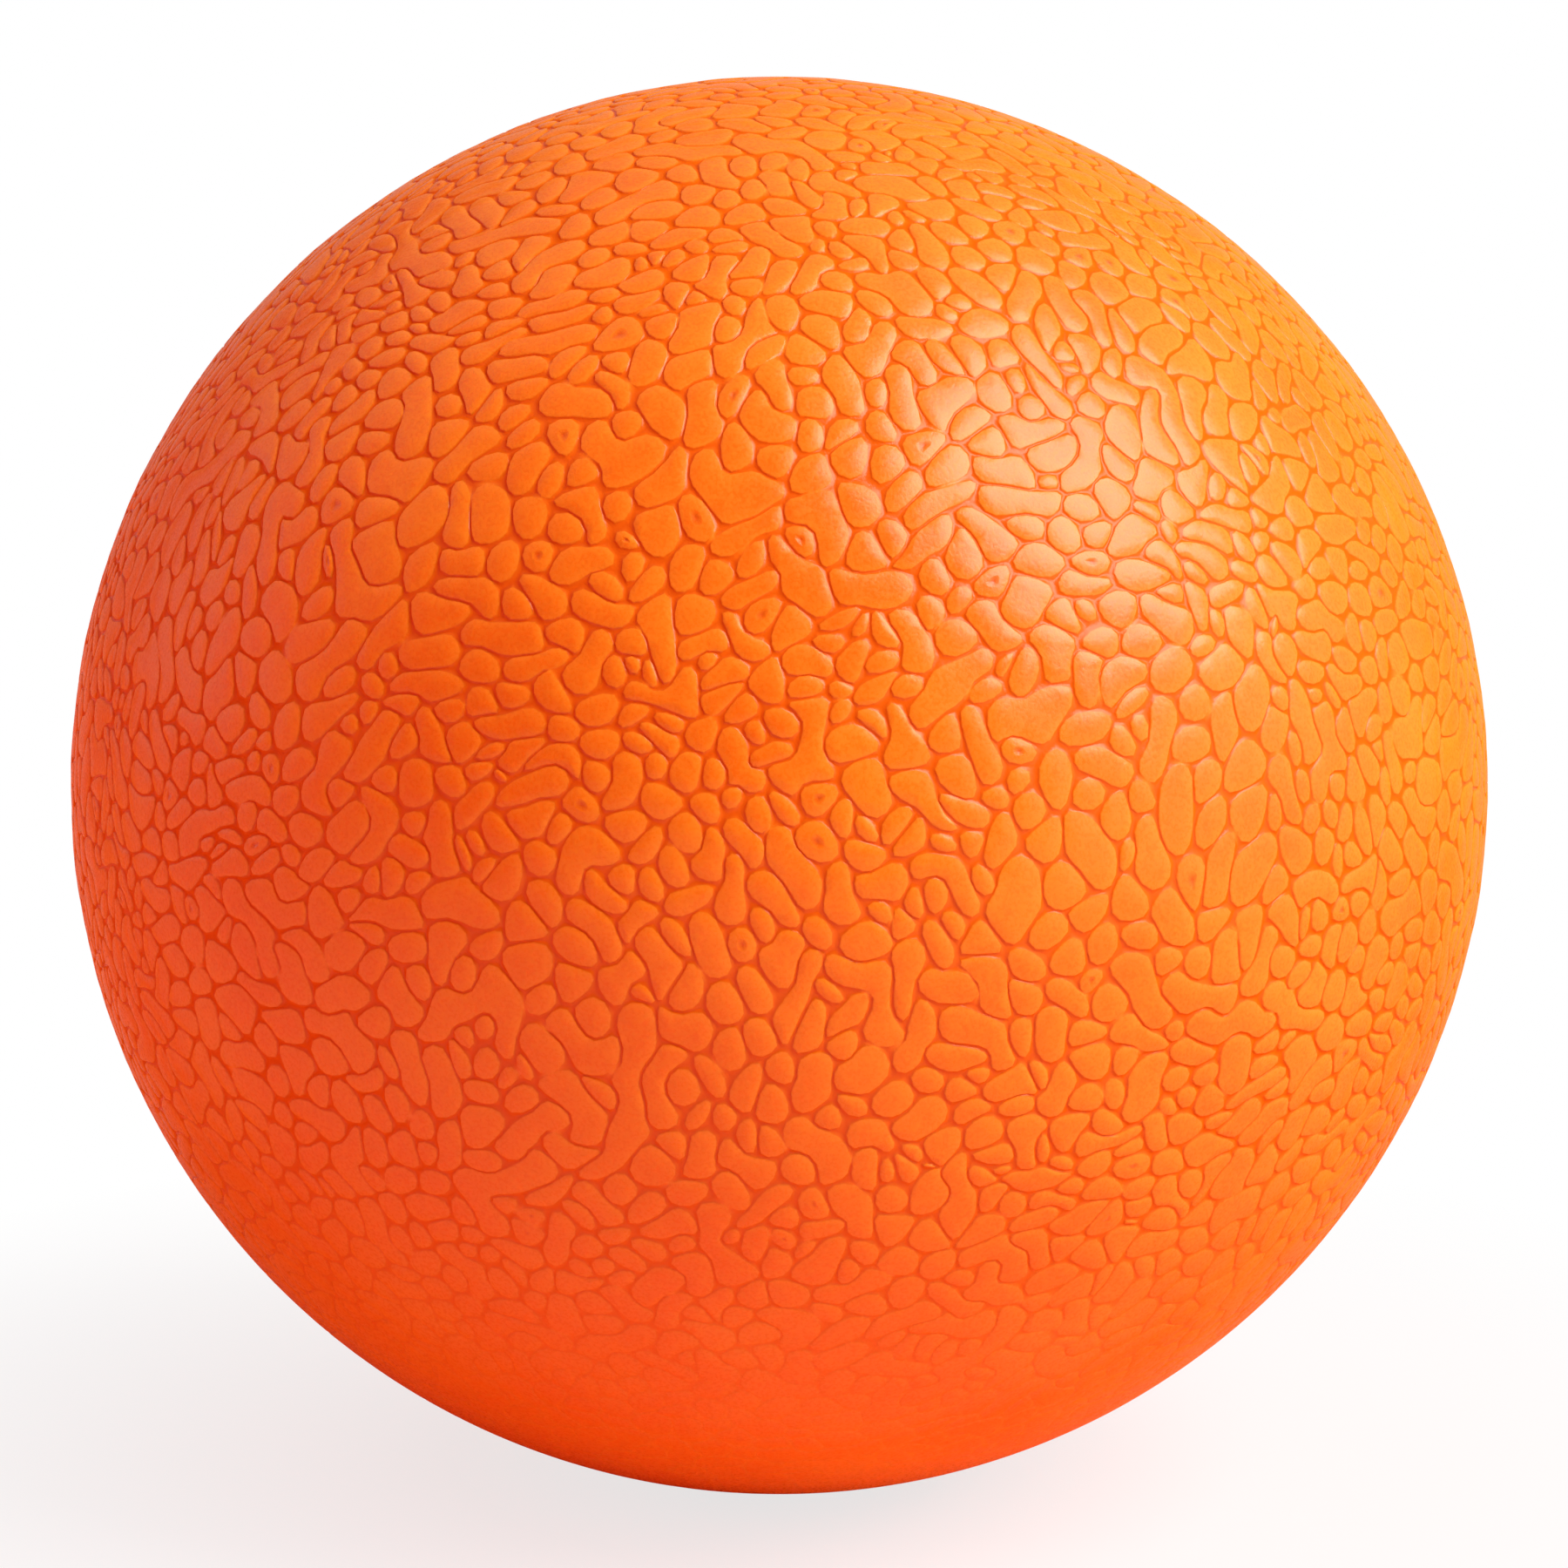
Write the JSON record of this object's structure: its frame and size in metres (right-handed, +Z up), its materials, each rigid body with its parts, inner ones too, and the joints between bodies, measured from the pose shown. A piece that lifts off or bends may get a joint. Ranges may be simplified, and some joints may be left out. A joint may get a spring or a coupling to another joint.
{
  "type": "massage ball",
  "caption": "Round hand-sized massage ball: a firm core in a soft orange rubber cover with a moulded pebble grain.",
  "frame": {"origin": "middle of the flat patch that the ball rests on", "axes": "+Z up through the ball's centre, square to the parting plane; X and Y are alike"},
  "size_m": [0.063, 0.063, 0.0629],
  "materials": {
    "cover_rubber": "satin, pebble grained",
    "core_rubber": "matt, as moulded"
  },
  "bodies": {
    "root": {"core": "core_rubber", "upper_cover": "cover_rubber", "lower_cover": "cover_rubber"}
  },
  "joints": []
}
